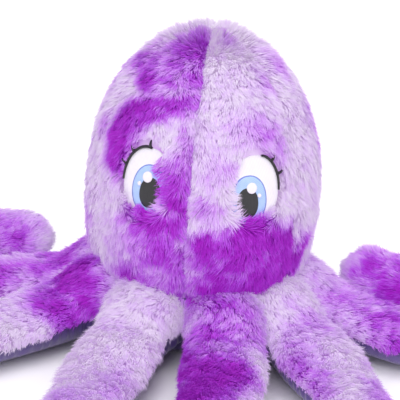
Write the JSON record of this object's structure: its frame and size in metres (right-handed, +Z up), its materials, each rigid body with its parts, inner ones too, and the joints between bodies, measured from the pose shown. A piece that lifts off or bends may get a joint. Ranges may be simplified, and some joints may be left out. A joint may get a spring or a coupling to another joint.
{
  "type": "plush octopus",
  "caption": "Stuffed plush octopus soft toy: a round fur head with two embroidered eyes on a satin base, and hinged tentacles with fur on top and satin underneath.",
  "frame": {"origin": "centre of the flat satin base, on the surface that the toy sits on", "axes": "+Z up, the face looks along -Y, +X is the toy's own left, which is the viewer's right"},
  "size_m": [0.3538, 0.4866, 0.172],
  "materials": {
    "fur_head": "matte",
    "fur_tentacle": "matte",
    "satin": "satin",
    "filling": "matte",
    "label": "satin",
    "thread_white": "matte",
    "thread_blue": "matte",
    "thread_black": "matte"
  },
  "bodies": {
    "head": {"head_front_left": "fur_head", "head_front_right": "fur_head", "head_side_left": "fur_head", "head_side_right": "fur_head", "head_back_left": "fur_head", "head_back_right": "fur_head", "base_panel": "satin", "head_filling": "filling", "care_label": "label", "eye_white_left": "thread_white", "iris_left": "thread_blue", "pupil_left": "thread_black", "highlights_left": "thread_white", "lashes_left": "thread_black", "eye_white_right": "thread_white", "iris_right": "thread_blue", "pupil_right": "thread_black", "highlights_right": "thread_white", "lashes_right": "thread_black"},
    "tentacle_front_left": {"tentacle_fur_front_left": "fur_tentacle", "tentacle_satin_front_left": "satin", "tentacle_filling_front_left": "filling"},
    "tentacle_front_right": {"tentacle_fur_front_right": "fur_tentacle", "tentacle_satin_front_right": "satin", "tentacle_filling_front_right": "filling"},
    "tentacle_fore_left": {"tentacle_fur_fore_left": "fur_tentacle", "tentacle_satin_fore_left": "satin", "tentacle_filling_fore_left": "filling"},
    "tentacle_fore_right": {"tentacle_fur_fore_right": "fur_tentacle", "tentacle_satin_fore_right": "satin", "tentacle_filling_fore_right": "filling"},
    "tentacle_rear_left": {"tentacle_fur_rear_left": "fur_tentacle", "tentacle_satin_rear_left": "satin", "tentacle_filling_rear_left": "filling"},
    "tentacle_rear_right": {"tentacle_fur_rear_right": "fur_tentacle", "tentacle_satin_rear_right": "satin", "tentacle_filling_rear_right": "filling"},
    "tentacle_back_left": {"tentacle_fur_back_left": "fur_tentacle", "tentacle_satin_back_left": "satin", "tentacle_filling_back_left": "filling"},
    "tentacle_back_right": {"tentacle_fur_back_right": "fur_tentacle", "tentacle_satin_back_right": "satin", "tentacle_filling_back_right": "filling"}
  },
  "joints": [
    {"name": "front_left_lift", "type": "hinge", "parent": "head", "child": "tentacle_front_left", "pos_m": [-0.02981, -0.06112, 0.016], "axis": [-0.9455, 0.3256, 0], "range_deg": [-40, 60]},
    {"name": "front_right_lift", "type": "hinge", "parent": "head", "child": "tentacle_front_right", "pos_m": [0.01874, -0.06537, 0.016], "axis": [-0.9994, -0.0349, 0], "range_deg": [-40, 60]},
    {"name": "fore_left_lift", "type": "hinge", "parent": "head", "child": "tentacle_fore_left", "pos_m": [-0.06212, -0.02766, 0.016], "axis": [-0.5299, 0.848, 0], "range_deg": [-40, 60]},
    {"name": "fore_right_lift", "type": "hinge", "parent": "head", "child": "tentacle_fore_right", "pos_m": [0.05209, -0.04371, 0.016], "axis": [-0.829, -0.5592, 0], "range_deg": [-40, 60]},
    {"name": "rear_left_lift", "type": "hinge", "parent": "head", "child": "tentacle_rear_left", "pos_m": [-0.06749, 0.00829, 0.016], "axis": [0, 1, 0], "range_deg": [-40, 35]},
    {"name": "rear_right_lift", "type": "hinge", "parent": "head", "child": "tentacle_rear_right", "pos_m": [0.06783, -0.00474, 0.016], "axis": [-0.4067, -0.9135, 0], "range_deg": [-40, 35]},
    {"name": "back_left_lift", "type": "hinge", "parent": "head", "child": "tentacle_back_left", "pos_m": [-0.02547, 0.06305, 0.016], "axis": [0.9659, 0.2588, 0], "range_deg": [-40, 60]},
    {"name": "back_right_lift", "type": "hinge", "parent": "head", "child": "tentacle_back_right", "pos_m": [0.03803, 0.05637, 0.016], "axis": [0.9903, -0.1392, 0], "range_deg": [-40, 60]}
  ]
}
